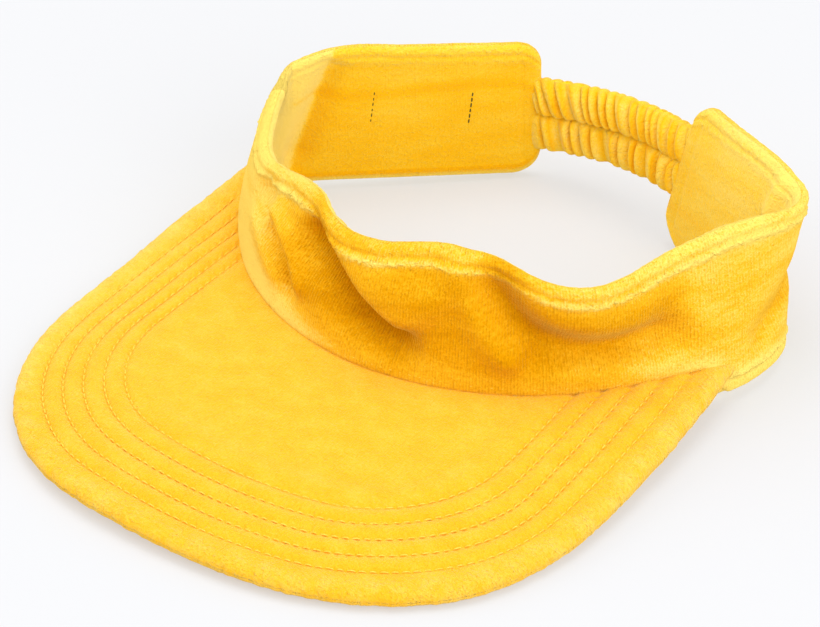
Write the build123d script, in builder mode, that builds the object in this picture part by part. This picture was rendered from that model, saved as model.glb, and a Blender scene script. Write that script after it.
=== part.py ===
from build123d import *

import os
from math import degrees, radians

# Sun visor of yellow velour: a stitched peak with a board in it, a soft two-layer band
# and a gathered elastic back. Millimetres, +Z up, the peak's tip towards -Y.
# The origin is the middle of the visor's plan, on the surface that it rests on.
# Left and right are the wearer's: left is +X. The band has its relaxed shape, lying
# down, in which both sides are equally long and the left one bends more widely.

# Peak, as seen from above: three tangent arcs on each side of the tip
tip_y = -115.9
tip_radius, tip_turn = 164.0, 13.5
corner_radius, corner_turn = 80.0, 75.7
side_radius, side_turn = 470.0, 9.0

# Peak, through its thickness: a crowned sheet that slopes down to the tip
peak_rise = 7.4
crown_height, crown_half_width = 5.05, 87.0
peak_slope = 0.067
cover_thickness = 1.3
board_thickness = 1.2
padding_thickness = 0.9
layer_gap = 0.05
rim_width = 4.0
rim_round = 1.6
rim_from_x = 95.0
nearly_level = 0.5

# Topstitching of the peak
row_count = 5
first_row = 9.5
row_spacing = 6.35
thread_size = 0.5
seam_rise = 1.2

# Band, as seen from above: its outer face, from the middle of the front
band_front_y = -22.4
front_radius, front_turn = 88.0, 47.6
flank_radius, flank_turn = 230.0, 10.4
side_length = 100.0
hinge_along = 15.0
hinge_gap = 1.5
sides = {
    "left": {"sign": 1, "temple_radius": 32.0, "temple_turn": 94.4},
    "right": {"sign": -1, "temple_radius": 18.0, "temple_turn": 79.5},
}

# Band, from the side and through its thickness
band_height = 49.0
front_lift = 0.11
panel_thickness = 1.8
interlining_thickness = 1.2
band_gap = 0.1
interlining_margin = 7.0
wing_corner = 6.0
hem_width = 6.4

# Elastic back
casing_height, casing_depth = 31.0, 7.0
casing_wall = 1.1
casing_bottom = 9.0
casing_waist = 5.2
elastic_height, elastic_thickness = 10.0, 1.4
anchor_radius = 1.6
anchor_gap = 0.7
open_pivot_gap = 3.0

# Label on the right side and the two tacks that hold it
label_length, label_height, label_thickness = 35.0, 14.0, 0.6
label_to_end = 16.0
tack_width, tack_height, tack_inset = 1.0, 9.0, 1.0

# Heights through the peak, from the crowned middle surface
peak_half = cover_thickness + layer_gap + (board_thickness + padding_thickness + layer_gap) / 2
core_low = cover_thickness - peak_half
core_high = peak_half - cover_thickness
board_low = core_low + layer_gap
board_high = board_low + board_thickness
padding_low = board_high + layer_gap / 2
padding_high = padding_low + padding_thickness

# Depths through the band, from its outer face inwards
interlining_depth = panel_thickness + band_gap
lining_depth = interlining_depth + interlining_thickness + band_gap
band_thickness = lining_depth + panel_thickness

# Solids that reach well past the visor, to be cut to shape
reach = 130.0
run = 300.0
tall = 90.0
peak_direction = (0, -1, -peak_slope)


def crown_section(low, high):
    """Section across the peak between two heights from its middle surface, at y = reach."""
    middle = peak_rise + crown_height + peak_slope * reach
    drop = crown_height * (reach / crown_half_width) ** 2
    lower, upper = middle + low, middle + high
    with BuildSketch(Plane.XZ.offset(-reach)) as section:
        with BuildLine():
            bottom = ThreePointArc((-reach, lower - drop), (0, lower), (reach, lower - drop))
            top = ThreePointArc((-reach, upper - drop), (0, upper), (reach, upper - drop))
            Line(bottom @ 0, top @ 0)
            Line(bottom @ 1, top @ 1)
        make_face()
    return section.sketch


def head_plan(depth):
    """Everything inside a line at this depth in the band's front and flanks."""
    with BuildSketch() as plan:
        with BuildLine():
            front = JernArc((0, band_front_y + depth), (1, 0), front_radius - depth, front_turn)
            flank = JernArc(front @ 1, front % 1, flank_radius - depth, flank_turn)
            out = Line(flank @ 1, flank @ 1 + (flank % 1) * 2 * side_length)
            back = Line(out @ 1, (0, (out @ 1).Y))
            Line(back @ 1, front @ 0)
        make_face()
        mirror(about=Plane.YZ)
    return plan.sketch


def peak_plan(inset, back_depth):
    """Outline of the peak, inset from its edge, ending at this depth in the band."""
    with BuildSketch(Plane.XY.offset(-reach)) as plan:
        with BuildLine():
            tip = JernArc((0, tip_y + inset), (1, 0), tip_radius - inset, tip_turn)
            corner = JernArc(tip @ 1, tip % 1, corner_radius - inset, corner_turn)
            side = JernArc(corner @ 1, corner % 1, side_radius - inset, side_turn)
            back = Line(side @ 1, (0, (side @ 1).Y))
            Line(back @ 1, tip @ 0)
        make_face()
        mirror(about=Plane.YZ)
        add(head_plan(back_depth), mode=Mode.SUBTRACT)
    return plan.sketch


def band_lines(side, depth):
    """One side of the band as seen from above, at a depth: the front body's lines and the wing's."""
    sign, radius = side["sign"], side["temple_radius"]
    gap_turn = degrees(hinge_gap / 2 / radius)
    to_gap = degrees(hinge_along / radius) - gap_turn
    after_gap = side["temple_turn"] - to_gap - 2 * gap_turn
    wing_length = side_length - radius * radians(side["temple_turn"])
    start = (0, band_front_y + depth)
    front = JernArc(start, (sign, 0), front_radius - depth, sign * front_turn, mode=Mode.PRIVATE)
    flank = JernArc(front @ 1, front % 1, flank_radius - depth, sign * flank_turn, mode=Mode.PRIVATE)
    temple = JernArc(flank @ 1, flank % 1, radius - depth, sign * to_gap, mode=Mode.PRIVATE)
    gap = JernArc(temple @ 1, temple % 1, radius - depth, sign * 2 * gap_turn, mode=Mode.PRIVATE)
    bend = JernArc(gap @ 1, gap % 1, radius - depth, sign * after_gap, mode=Mode.PRIVATE)
    wing = Line(bend @ 1, bend @ 1 + (bend % 1) * wing_length, mode=Mode.PRIVATE)
    return {"front": [front, flank, temple], "gap": gap, "wing": [bend, wing]}


def strip(lines, thickness, base=0.0):
    """A strip of this thickness along lines that follow each other, at a height."""
    with BuildSketch(Plane.XY.offset(base)) as plan:
        with BuildLine():
            add(lines)
        trace(line_width=thickness)
    return plan.sketch


def front_strip(depth, thickness, last="temple"):
    """The front body's strip, with its outer face at a depth, as far as the hinges or the flanks' ends."""
    count = {"temple": 3, "flank": 2}[last]
    both = [band_lines(side, depth + thickness / 2)["front"][:count] for side in sides.values()]
    return strip(both[0] + both[1], thickness)


def wing_strip(side, depth, thickness, margin=0.0, base=0.0):
    """A wing's strip, with its outer face at a depth, from its hinge to a margin before its end."""
    bend, wing = band_lines(side, depth + thickness / 2)["wing"]
    shorter = Line(wing @ 0, wing @ 1 - (wing % 1) * margin, mode=Mode.PRIVATE)
    return strip([bend, shorter], thickness, base)


def wing_patch(side, depth, thickness, to_end, length, base):
    """A strip of this length on a wing's straight part, that stops short of the wing's end."""
    wing = band_lines(side, depth + thickness / 2)["wing"][1]
    stop = wing @ 1 - (wing % 1) * to_end
    return strip([Line(stop - (wing % 1) * length, stop, mode=Mode.PRIVATE)], thickness, base)


def level(height):
    """The front's tilted plane at a height above the band's lower edge."""
    return Plane(origin=(0, hinge_y, height), z_dir=(0, front_lift, 1))


hinge_y = (band_lines(sides["left"], band_thickness / 2)["gap"] @ 0.5).Y
outer_thread = -thread_size - layer_gap
inner_thread = band_thickness + layer_gap


def on_rim(edge):
    """Whether an edge of the peak's skin is on its rim, and not where the band meets it."""
    middle = edge.center()
    return middle.Y < tip_y / 2 or abs(middle.X) > rim_from_x


def save(piece, name):
    """Names a finished sub-part and writes its STEP file."""
    piece.part.label = name
    export_step(piece.part, f"parts/{name}.step")


os.makedirs("parts", exist_ok=True)

# ---- Peak ----

with BuildPart() as peak_space:
    extrude(crown_section(-reach, peak_half + band_gap), amount=run, dir=peak_direction)
    extrude(peak_plan(-band_gap, lining_depth), amount=run, mode=Mode.INTERSECT)

with BuildPart() as core_space:
    extrude(crown_section(core_low, core_high), amount=run, dir=peak_direction)
    extrude(peak_plan(rim_width, lining_depth), amount=run, mode=Mode.INTERSECT)

for name, low, high, outward in (
    ("peak_top_cover", layer_gap / 2, peak_half, 1),
    ("peak_under_cover", -peak_half, -layer_gap / 2, -1),
):
    with BuildPart() as peak_cover:
        extrude(crown_section(low, high), amount=run, dir=peak_direction)
        extrude(peak_plan(0, lining_depth - band_gap), amount=run, mode=Mode.INTERSECT)
        add(core_space.part, mode=Mode.SUBTRACT)
        facing_out = peak_cover.faces().filter_by(lambda face: face.normal_at().Z * outward > nearly_level)
        skin = facing_out.sort_by(SortBy.AREA)[-1]
        fillet(skin.edges().filter_by(on_rim), rim_round)
    save(peak_cover, name)

with BuildPart() as peak_board:
    extrude(crown_section(board_low, board_high), amount=run, dir=peak_direction)
    extrude(peak_plan(rim_width + band_gap, lining_depth - band_gap), amount=run, mode=Mode.INTERSECT)
save(peak_board, "peak_board")

with BuildPart() as peak_padding:
    extrude(crown_section(padding_low, padding_high - layer_gap), amount=run, dir=peak_direction)
    extrude(peak_plan(rim_width + band_gap, lining_depth - band_gap), amount=run, mode=Mode.INTERSECT)
save(peak_padding, "peak_padding")

for row in range(row_count):
    inset = first_row + row * row_spacing
    with BuildPart() as peak_stitch_row:
        for face in (peak_half + layer_gap, -peak_half - layer_gap - thread_size):
            extrude(crown_section(face, face + thread_size), amount=run, dir=peak_direction)
        extrude(peak_plan(inset, outer_thread), amount=run, mode=Mode.INTERSECT)
        extrude(peak_plan(inset + thread_size, 0), amount=run, mode=Mode.SUBTRACT)
    save(peak_stitch_row, f"peak_stitch_row_{row + 1}")

# ---- Front of the band ----

front_layers = {
    "front_outer_panel": (0, panel_thickness, 0, 0),
    "front_interlining": (interlining_depth, interlining_thickness, interlining_margin, interlining_margin),
    "front_lining_panel": (lining_depth, panel_thickness, 0, 0),
}
for name, (depth, thickness, low, high) in front_layers.items():
    with BuildPart() as front_layer:
        extrude(front_strip(depth, thickness), amount=tall)
        split(bisect_by=level(low), keep=Keep.TOP)
        split(bisect_by=level(band_height - high), keep=Keep.BOTTOM)
        if depth < lining_depth:
            add(peak_space.part, mode=Mode.SUBTRACT)
    save(front_layer, name)

with BuildPart() as front_top_stitch:
    for depth in (outer_thread, inner_thread):
        extrude(front_strip(depth, thread_size), amount=tall)
    split(bisect_by=level(band_height - hem_width), keep=Keep.BOTTOM)
    split(bisect_by=level(band_height - hem_width - thread_size), keep=Keep.TOP)
save(front_top_stitch, "front_top_stitch")

seam_low = peak_half + seam_rise
with BuildPart() as peak_seam_stitch:
    extrude(crown_section(seam_low, seam_low + thread_size), amount=run, dir=peak_direction)
    extrude(front_strip(outer_thread, thread_size, "flank"), amount=tall, mode=Mode.INTERSECT)
save(peak_seam_stitch, "peak_seam_stitch")

with BuildPart() as front_bottom_stitch:
    extrude(front_strip(inner_thread, thread_size), amount=tall)
    split(bisect_by=level(hem_width + thread_size), keep=Keep.BOTTOM)
    split(bisect_by=level(hem_width), keep=Keep.TOP)
save(front_bottom_stitch, "front_bottom_stitch")

# ---- Wings: the sides and the back ends of the band ----

for side_name, side in sides.items():
    for layer_name, depth in (("outer_panel", 0), ("lining_panel", lining_depth)):
        with BuildPart() as wing_panel:
            extrude(wing_strip(side, depth, panel_thickness), amount=band_height)
            across = wing_panel.edges().filter_by(lambda e: abs(e.length - panel_thickness) < layer_gap)
            fillet(across.sort_by(Axis.Y)[-2:], wing_corner)
        save(wing_panel, f"{side_name}_{layer_name}")

    margin = interlining_margin
    with BuildPart() as wing_interlining:
        plan = wing_strip(side, interlining_depth, interlining_thickness, margin, margin)
        extrude(plan, amount=band_height - 2 * margin)
    save(wing_interlining, f"{side_name}_interlining")

    with BuildPart() as wing_hem_stitch:
        for depth in (outer_thread, inner_thread):
            for base in (hem_width, band_height - hem_width - thread_size):
                extrude(wing_strip(side, depth, thread_size, hem_width, base), amount=thread_size)
            end_run = wing_patch(side, depth, thread_size, hem_width, thread_size, hem_width)
            extrude(end_run, amount=band_height - 2 * hem_width)
    save(wing_hem_stitch, f"{side_name}_hem_stitch")

# ---- Label on the outside of the right wing, and its tacks on the inside ----

label_base = (band_height - label_height) / 2
with BuildPart() as side_label:
    outside = -label_thickness - layer_gap
    plan = wing_patch(sides["right"], outside, label_thickness, label_to_end, label_length, label_base)
    extrude(plan, amount=label_height)
save(side_label, "side_label")

with BuildPart() as label_tacks:
    tack_base = (band_height - tack_height) / 2
    for to_end in (tack_inset, label_length - tack_inset - tack_width):
        stop = label_to_end + to_end
        plan = wing_patch(sides["right"], inner_thread, thread_size, stop, tack_width, tack_base)
        extrude(plan, amount=tack_height)
save(label_tacks, "label_tacks")

# ---- Elastic back: it hangs between the wings' ends ----


def anchor_place(side, gap):
    """The axis that an end of the elastic turns on, this far past a wing's end."""
    wing = band_lines(side, band_thickness / 2)["wing"][1]
    return wing @ 1 + (wing % 1) * (gap + anchor_radius)


right_anchor = anchor_place(sides["right"], anchor_gap)
left_anchor = anchor_place(sides["left"], open_pivot_gap)
across_back = left_anchor - right_anchor
to_casing = anchor_radius + anchor_gap
casing_length = across_back.length - 2 * to_casing
casing_start = right_anchor + across_back.normalized() * to_casing
casing_plane = Plane(
    origin=casing_start + Vector(0, 0, casing_bottom + casing_height / 2),
    x_dir=(0, 0, 1),
    z_dir=across_back,
)
channel_height = (casing_height + casing_wall) / 2
channel_pitch = casing_height - channel_height

with BuildPart() as elastic_casing:
    with BuildSketch(casing_plane):
        with GridLocations(channel_pitch, 0, 2, 1):
            SlotOverall(channel_height, casing_depth)
        with GridLocations(channel_pitch, 0, 2, 1):
            SlotOverall(channel_height - 2 * casing_wall, casing_depth - 2 * casing_wall, mode=Mode.SUBTRACT)
    extrude(amount=casing_length)
save(elastic_casing, "elastic_casing")

for name, offset in (("elastic_strip_lower", -channel_pitch / 2), ("elastic_strip_upper", channel_pitch / 2)):
    with BuildPart() as elastic_strip:
        with BuildSketch(casing_plane):
            with Locations((offset, 0)):
                Rectangle(elastic_height, elastic_thickness)
        extrude(amount=casing_length)
    save(elastic_strip, name)

with BuildPart() as casing_centre_stitch:
    with BuildSketch(casing_plane):
        with GridLocations(0, casing_waist, 1, 2):
            Rectangle(thread_size, thread_size)
    extrude(amount=casing_length)
save(casing_centre_stitch, "casing_centre_stitch")

for name, place in (("elastic_anchor_left", left_anchor), ("elastic_anchor_right", right_anchor)):
    with BuildPart() as elastic_anchor:
        with BuildSketch(Plane(origin=place + Vector(0, 0, casing_bottom))):
            Circle(anchor_radius)
        extrude(amount=casing_height)
    save(elastic_anchor, name)
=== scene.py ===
import bpy
import numpy as np
from mathutils import Matrix, Vector
from numpy import cos, pi, radians, sin


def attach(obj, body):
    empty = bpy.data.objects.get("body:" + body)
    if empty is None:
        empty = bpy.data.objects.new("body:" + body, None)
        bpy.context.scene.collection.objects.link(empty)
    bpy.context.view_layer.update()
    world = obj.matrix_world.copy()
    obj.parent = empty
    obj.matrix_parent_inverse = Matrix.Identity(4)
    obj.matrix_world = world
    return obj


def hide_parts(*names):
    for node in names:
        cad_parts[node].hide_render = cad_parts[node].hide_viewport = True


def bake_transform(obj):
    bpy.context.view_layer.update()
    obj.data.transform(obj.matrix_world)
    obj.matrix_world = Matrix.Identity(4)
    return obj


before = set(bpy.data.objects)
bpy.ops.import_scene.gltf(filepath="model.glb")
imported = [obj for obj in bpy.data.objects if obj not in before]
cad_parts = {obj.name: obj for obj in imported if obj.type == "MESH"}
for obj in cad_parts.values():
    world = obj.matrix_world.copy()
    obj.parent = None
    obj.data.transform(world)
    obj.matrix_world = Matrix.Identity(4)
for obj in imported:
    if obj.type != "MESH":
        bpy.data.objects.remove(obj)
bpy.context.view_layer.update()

# The looks of a sun visor of yellow velour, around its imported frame. Millimetres, in the
# frame's axes; meshes are scaled to metres as they are made. Left and right are the
# wearer's: left is +X.

MM = 0.001

# ---- Driving sizes, as in the part ----

TIP_Y = -115.9
TIP = (164.0, 13.5)
CORNER = (80.0, 75.7)
SIDE = (470.0, 9.0)
PEAK_RISE, CROWN, CROWN_HALF, SLOPE = 7.4, 5.05, 87.0, 0.067
PEAK_HALF = 2.4
CORE_HALF = 1.17
RIM = 4.0
ROWS = [9.5 + 6.35 * row for row in range(5)]

BAND_FRONT_Y = -22.4
FRONT = (88.0, 47.6)
FLANK = (230.0, 10.4)
TEMPLE = {1: (32.0, 94.4), -1: (18.0, 79.5)}
SIDE_LENGTH = 100.0
THICK = 5.0
MIDDLE = THICK / 2
CLOTH = 1.5
FRONT_LIFT, HINGE_Y = 0.11, 53.5
PEAK_CORNER_AT = 116.0
SIDES = {"left": 1, "right": -1}

# ---- Sizes that only the looks need ----

STITCH = 3.2
STITCH_SINK, END_STITCH_SINK = 0.85, 0.6
QUILTED_TO, PATCH_REACH = 46.0, 30.0
HEM, TOP_HEM, LINING_HEM = 6.4, 4.9, 3.2
RIDGE_WIDTH, GROOVE_BESIDE, GROOVE_WIDTH = 1.1, 1.6, 0.7
# How high a hem's ridge stands, its nubs, the groove beside it and its fluff, by lining or not
HEM_RELIEF = {False: (0.34, 0.37, 0.45, 0.9), True: (0.1, 0.1, 0.3, 0.25)}
# How far a panel rolls over the crest, in quarter turns, by lining or not
ROLL_OVER = {False: 1.15, True: 0.87}
# How much further each wing reaches than its solid, and how far its corners are rounded
END_REACH = {1: 4.0, -1: 5.6}
TOP_CORNER, LOW_CORNER = 8.0, {1: 14.0, -1: 10.0}
# Where the right wing's crease starts at its lower edge
RIGHT_CREASE = -131.0

# ---- Curves, noise and meshes ----


def ease(low, high, value):
    """0 below low, 1 above high, smooth between."""
    t = np.clip((value - low) / (high - low), 0, 1)
    return t * t * (3 - 2 * t)


def hump(value, centre, width):
    """1 at the centre, falling off smoothly to both sides."""
    return np.exp(-(((value - centre) / width) ** 2))


def rounding(distance, radius):
    """Height of a quarter circle at distances from its foot, and its radius beyond it."""
    return radius * np.sqrt(np.clip(1 - np.clip(1 - distance / radius, 0, 1) ** 2, 0, 1))


def lattice(x, y, seed):
    """Smooth noise from -1 to 1 with cells of size 1, the same on each run."""
    table = np.random.default_rng(seed).uniform(-1, 1, (128, 128))
    column, row = np.floor(x).astype(int), np.floor(y).astype(int)
    u, v = ease(0, 1, x - column), ease(0, 1, y - row)

    def at(i, j):
        return table[(column + i) % 128, (row + j) % 128]

    near = at(0, 0) * (1 - u) + at(1, 0) * u
    far = at(0, 1) * (1 - u) + at(1, 1) * u
    return near * (1 - v) + far * v


def along_band(stations, soften=6.0):
    """A smooth curve through values given at places along the band."""
    places = np.arange(-250.0, 251.0)
    values = np.interp(places, [p for p, _ in stations], [v for _, v in stations])
    kernel = np.exp(-0.5 * (np.arange(-30, 31) / soften) ** 2)
    padded = np.pad(values, 30, mode="edge")
    smooth = np.convolve(padded, kernel / kernel.sum(), mode="valid")
    return lambda s: np.interp(s, places, smooth)


def follow(pieces, start, heading, length):
    """Points and headings on arcs that follow each other, then straight on, at these lengths."""
    x, y = np.full_like(length, start[0]), np.full_like(length, start[1])
    turned, left = np.full_like(length, heading), length.copy()
    for radius, turn in pieces:
        step = np.clip(left, 0, radius * radians(turn)) / radius
        x += radius * (sin(turned + step) - sin(turned))
        y -= radius * (cos(turned + step) - cos(turned))
        turned = turned + step
        left = left - step * radius
    return x + left * cos(turned), y + left * sin(turned), turned


def closed_shell(name, outside, inside, flat, round_about=False, join=None):
    """A cloth piece with both its faces and its rims, from two grids of points.

    flat is where each point lies on the flat cloth, then how fluffy the pile is there and
    how pale it is painted, as brushed pile with painted sheen, light and shade, if it has pile.

    join is a column of the grid where it meets another piece, and the surface's own normals
    there, so that no edge shows between the two."""
    rows, columns = outside.shape[:2]
    count = rows * columns
    index = np.arange(count).reshape(rows, columns)
    if round_about:
        index = np.hstack([index, index[:, :1]])
    corners = [index[:-1, :-1], index[:-1, 1:], index[1:, 1:], index[1:, :-1]]
    quads = np.stack(corners, axis=-1).reshape(-1, 4)
    faces = [quads, quads[:, ::-1] + count]
    rims = [index[0], index[-1, ::-1]]
    if not round_about:
        rims += [index[::-1, 0], index[:, -1]]
    for rim in rims:
        faces.append(np.stack([rim[1:], rim[:-1], rim[:-1] + count, rim[1:] + count], axis=-1))
    points = np.concatenate([outside.reshape(-1, 3), inside.reshape(-1, 3)])
    faces = np.concatenate(faces)
    mesh = bpy.data.meshes.new(name)
    mesh.from_pydata((points * MM).tolist(), [], faces.tolist())
    flat_map = np.tile(flat.reshape(count, -1), (2, 1)).astype(np.float32)
    layer = mesh.uv_layers.new(name="flat")
    layer.data.foreach_set("uv", flat_map[faces.reshape(-1), :2].reshape(-1))
    for column, word in enumerate(("fluff", "brushed_and_painted_light")[:flat_map.shape[1] - 2], 2):
        pile = mesh.attributes.new(word, "FLOAT", "POINT")
        pile.data.foreach_set("value", flat_map[:, column].copy())
    piece = finish_mesh(name, mesh)
    if join is not None:
        column, facing = join
        normals = np.zeros(len(points) * 3, np.float32)
        mesh.vertices.foreach_get("normal", normals)
        normals = normals.reshape(-1, 3)
        normals[index[:, column]] = facing
        mesh.normals_split_custom_set_from_vertices(normals.tolist())
    return piece


def finish_mesh(name, mesh):
    """A smooth object in the scene from a mesh."""
    mesh.validate()
    mesh.shade_smooth()
    piece = bpy.data.objects.new(name, mesh)
    bpy.context.scene.collection.objects.link(piece)
    return piece


# A stitch from end to end: place along it, thickness and height, as shares of its sizes
DASH = np.array([
    (-0.5, 0.3, -1.0), (-0.36, 0.85, -0.2), (0, 1, 0.25), (0.36, 0.85, -0.2), (0.5, 0.3, -1.0),
])
DASH_SIDES = 6


def dashes(name, runs, length=2.4, gap=0.8, radius=0.26, sink=0.3):
    """A row of stitches: small arched dashes that dive into the cloth at both ends."""
    around = np.arange(DASH_SIDES) * 2 * pi / DASH_SIDES
    points, faces = [], []
    for line, up in runs:
        travel = np.concatenate([[0], np.cumsum(np.linalg.norm(np.diff(line, axis=0), axis=1))])
        starts = np.arange(length, travel[-1] - length, length + gap)
        for number, start in enumerate(starts):
            uneven = 0.12 * sin(2.4 * number)
            places = start + DASH[:, 0] * (1 + uneven) * length
            spine = np.stack([np.interp(places, travel, line[:, k]) for k in range(3)], axis=1)
            lift = np.stack([np.interp(places, travel, up[:, k]) for k in range(3)], axis=1)
            ahead = spine[-1] - spine[0]
            across = np.cross(ahead / np.linalg.norm(ahead), lift)
            spine = spine + lift * (DASH[:, 2] * sink)[:, None]
            ring = cos(around)[:, None] * across[:, None, :] + sin(around)[:, None] * lift[:, None, :]
            ring = ring * (DASH[:, 1] * radius)[:, None, None]
            first = len(points) * len(DASH) * DASH_SIDES
            points.append((spine[:, None, :] + ring).reshape(-1, 3))
            for k in range(len(DASH) - 1):
                near = first + k * DASH_SIDES
                far = near + DASH_SIDES
                for j in range(DASH_SIDES):
                    n = (j + 1) % DASH_SIDES
                    faces.append([near + j, near + n, far + n, far + j])
            faces.append([first + j for j in reversed(range(DASH_SIDES))])
            faces.append([far + j for j in range(DASH_SIDES)])
    mesh = bpy.data.meshes.new(name)
    mesh.from_pydata((np.concatenate(points) * MM).tolist(), [], faces)
    return finish_mesh(name, mesh)


# ---- The band's shape ----

# How far the top edge stands out from the bottom edge, and how high it is
top_lean = along_band([
    (-209, 0), (-150, -1), (-138, -5), (-122, -11.9), (-105, -9.4), (-90, -8.7), (-75, -6.7),
    (-60, -9), (-45, -13.5), (-30, -14.5), (-15, -10.5), (0, -7.5), (15, -10), (30, -14), (45, -12),
    (60, -3.5), (75, 2), (90, -5), (105, -11), (120, -11.5), (135, -2), (150, 14.1), (165, 11.7),
    (180, 10.5), (195, 10), (209, 9),
])
top_height = along_band([
    (-209, 49), (-170, 51.5), (-150, 53.2), (-135, 51.6), (-120, 46.8), (-105, 46), (-90, 48),
    (-60, 49.5), (-45, 54), (-30, 54.5), (-10, 52.7), (0, 53.2), (15, 56), (30, 56.5), (45, 54.6),
    (60, 51.3), (75, 49.5), (90, 49), (105, 50.5), (120, 55), (135, 55), (150, 51), (165, 54),
    (178, 54.2), (195, 52.5), (209, 52),
])

# How far the lower edge is lifted, how far each edge is shifted along the band, how far the
# lower edge stands out, and how far the middle of the height bellies out
low_lift = along_band([
    (-209, 0), (-165, 1.2), (-138, 2), (-118, 0), (114, 0), (124, 1.8), (140, 2.8), (155, 0),
])
top_shift = along_band([(100, 0), (120, 3), (135, 7), (150, 2), (165, 0), (190, 0), (209, -2.5)])
low_shift = along_band([(180, 0), (200, 2.5), (209, 4.5)])
low_lean = along_band([(110, 0), (128, 1), (142, 5.5), (156, 6), (170, 0)])
belly = along_band([
    (-108, 0), (-94, 1), (-84, 1), (-70, 0), (118, 0), (135, 0.6), (150, -0.4), (165, -0.5), (180, 0),
])

# Folds of the soft band: points along it and up it, push outwards, softness on the upper
# and lower side, softness at the ends, and how far the cloth hangs down over its neighbour
FOLDS = [
    ([(-27, 48), (-18, 44), (-8, 39), (3, 33), (11, 28), (18, 21)], 3.4, 8, 4.5, 9, 0.8),
    ([(-29, 38), (-16, 33), (-3, 25), (8, 18), (20, 15)], -9.0, 6, 8, 13, 0),
    ([(4, 43), (18, 36), (30, 31)], 3.4, 9, 8, 10, 0),
    ([(32, 46), (39, 34), (46, 24), (54, 16)], 4.0, 6, 6, 8, 0),
    ([(43, 43), (49, 34), (58, 25), (73, 20), (90, 20), (104, 24)], -7.5, 7.5, 9, 16, 0),
    ([(57, 38), (75, 33), (96, 33)], 2.2, 9, 6.5, 14, 0.6),
    ([(62, 12), (82, 12), (104, 14)], 2.6, 6, 7, 10, 0),
    ([(-62, 29), (-48, 22), (-34, 17)], 2.2, 5, 5.5, 8, 0),
    ([(-50, 29), (-41, 25), (-32, 19), (-28, 13)], -3.4, 4.4, 4.2, 7, 0),
    ([(-52, 36), (-41, 32), (-31, 26), (-24, 18)], 3.0, 4, 4, 7, 0),
    ([(-64, 38), (-52, 32)], -5.0, 5, 5, 5, 0),
    ([(154, 29), (140, 22), (129, 13)], -3.0, 4, 6, 7, 0),
    ([(160, 52), (161, 38)], -3.0, 3, 3, 5, 0),
    ([(RIGHT_CREASE, 2), (-138, 25), (-147, 49)], 5.0, 5, 4, 4, 0),
]
CREST_HOLD = 0.6

# Where the band is painted paler, as brushed pile and as painted sheen and light where it is seen edge-on
# or faces the key light: 0 not at all, 1 fully
outer_brush_and_painted_light = along_band([
    (-209, 0.25), (-145, 0.4), (-125, 1.1), (-76, 1.4), (-56, 1.1), (-44, 0.6), (-34, 0.25),
    (-20, 0.1), (62, 0.1), (85, 0.35), (105, 0.6), (125, 0.8), (150, 0.75), (172, 0.45), (209, 0.25),
])
lining_brush_and_painted_light = along_band([
    (-120, 1), (-60, 0.5), (0, 0.3), (120, 0.8), (150, 0.75), (180, 0.45), (209, 0.2),
])


def rounded(line, further):
    """The same path, longer at both ends, with its corners cut twice."""
    line = np.array(line, float)
    for end, before in ((0, 1), (-1, -2)):
        ahead = line[end] - line[before]
        line[end] += ahead / np.hypot(*ahead) * further
    for _ in range(2):
        start, stop = line[:-1], line[1:]
        cut = np.stack([0.75 * start + 0.25 * stop, 0.25 * start + 0.75 * stop], axis=1)
        line = np.concatenate([line[:1], cut.reshape(-1, 2), line[-1:]])
    return line


def band_line(s):
    """Middle line of the band from above, with its outward direction and its own direction."""
    halves = []
    for sign in (1, -1):
        arcs = [(radius - MIDDLE, turn) for radius, turn in (FRONT, FLANK, TEMPLE[sign])]
        halves.append(follow(arcs, (0, BAND_FRONT_Y + MIDDLE), 0.0, np.clip(s * sign, 0, None)))
    left = s >= 0
    facing = np.where(left, 1.0, -1.0)
    x = facing * np.where(left, halves[0][0], halves[1][0])
    y, turned = (np.where(left, halves[0][k], halves[1][k]) for k in (1, 2))
    out = np.stack([facing * sin(turned), -cos(turned)], -1)
    ahead = np.stack([cos(turned), facing * sin(turned)], -1)
    return x, y, out, ahead


def band_end(sign):
    """Length along the middle line from the front to the end of a wing."""
    radius, turn = TEMPLE[sign]
    bends = sum((r - MIDDLE) * radians(t) for r, t in (FRONT, FLANK, TEMPLE[sign]))
    return bends + SIDE_LENGTH - radius * radians(turn) + END_REACH[sign]


def low_edge(y):
    """Height of the band's lower edge, which rises towards the front."""
    return np.clip(FRONT_LIFT * (HINGE_Y - y), 0, None)


def peak_height(x, y):
    """Height of the peak's middle surface, which droops a little on its right and by the tip."""
    side = 2.9 * ease(-40, -105, x) * ease(-75, -20, y) * ease(55, 25, y)
    tip = 1.2 * ease(-70, -115, y) * ease(-30, 10, x)
    return PEAK_RISE + CROWN * (1 - (x / CROWN_HALF) ** 2) + SLOPE * y - side - tip


def fold_shape(s, height):
    """How far the folds push the cloth out and let it hang, at places along the band and up it."""
    push = np.zeros(np.broadcast(s, height).shape)
    hang = np.zeros(push.shape)
    for line, depth, before, after, end, sag in FOLDS:
        line = rounded(line, end / 2)
        nearest = np.full(push.shape, 1e9)
        side, along, travelled = np.zeros(push.shape), np.zeros(push.shape), 0.0
        for a, b in zip(line[:-1], line[1:]):
            run = b - a
            length = np.hypot(*run)
            t = np.clip(((s - a[0]) * run[0] + (height - a[1]) * run[1]) / length**2, 0, 1)
            ds, dh = s - a[0] - t * run[0], height - a[1] - t * run[1]
            distance = np.hypot(ds, dh)
            closer = distance < nearest
            nearest = np.where(closer, distance, nearest)
            side = np.where(closer, run[0] * dh - run[1] * ds, side)
            along = np.where(closer, travelled + t * length, along)
            travelled += length
        width = np.where(side > 0, before, after)
        fall = ease(0, end, along) * ease(0, end, travelled - along) * hump(nearest, 0, width)
        push += depth * fall
        hang += sag * fall
    return push, hang


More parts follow.
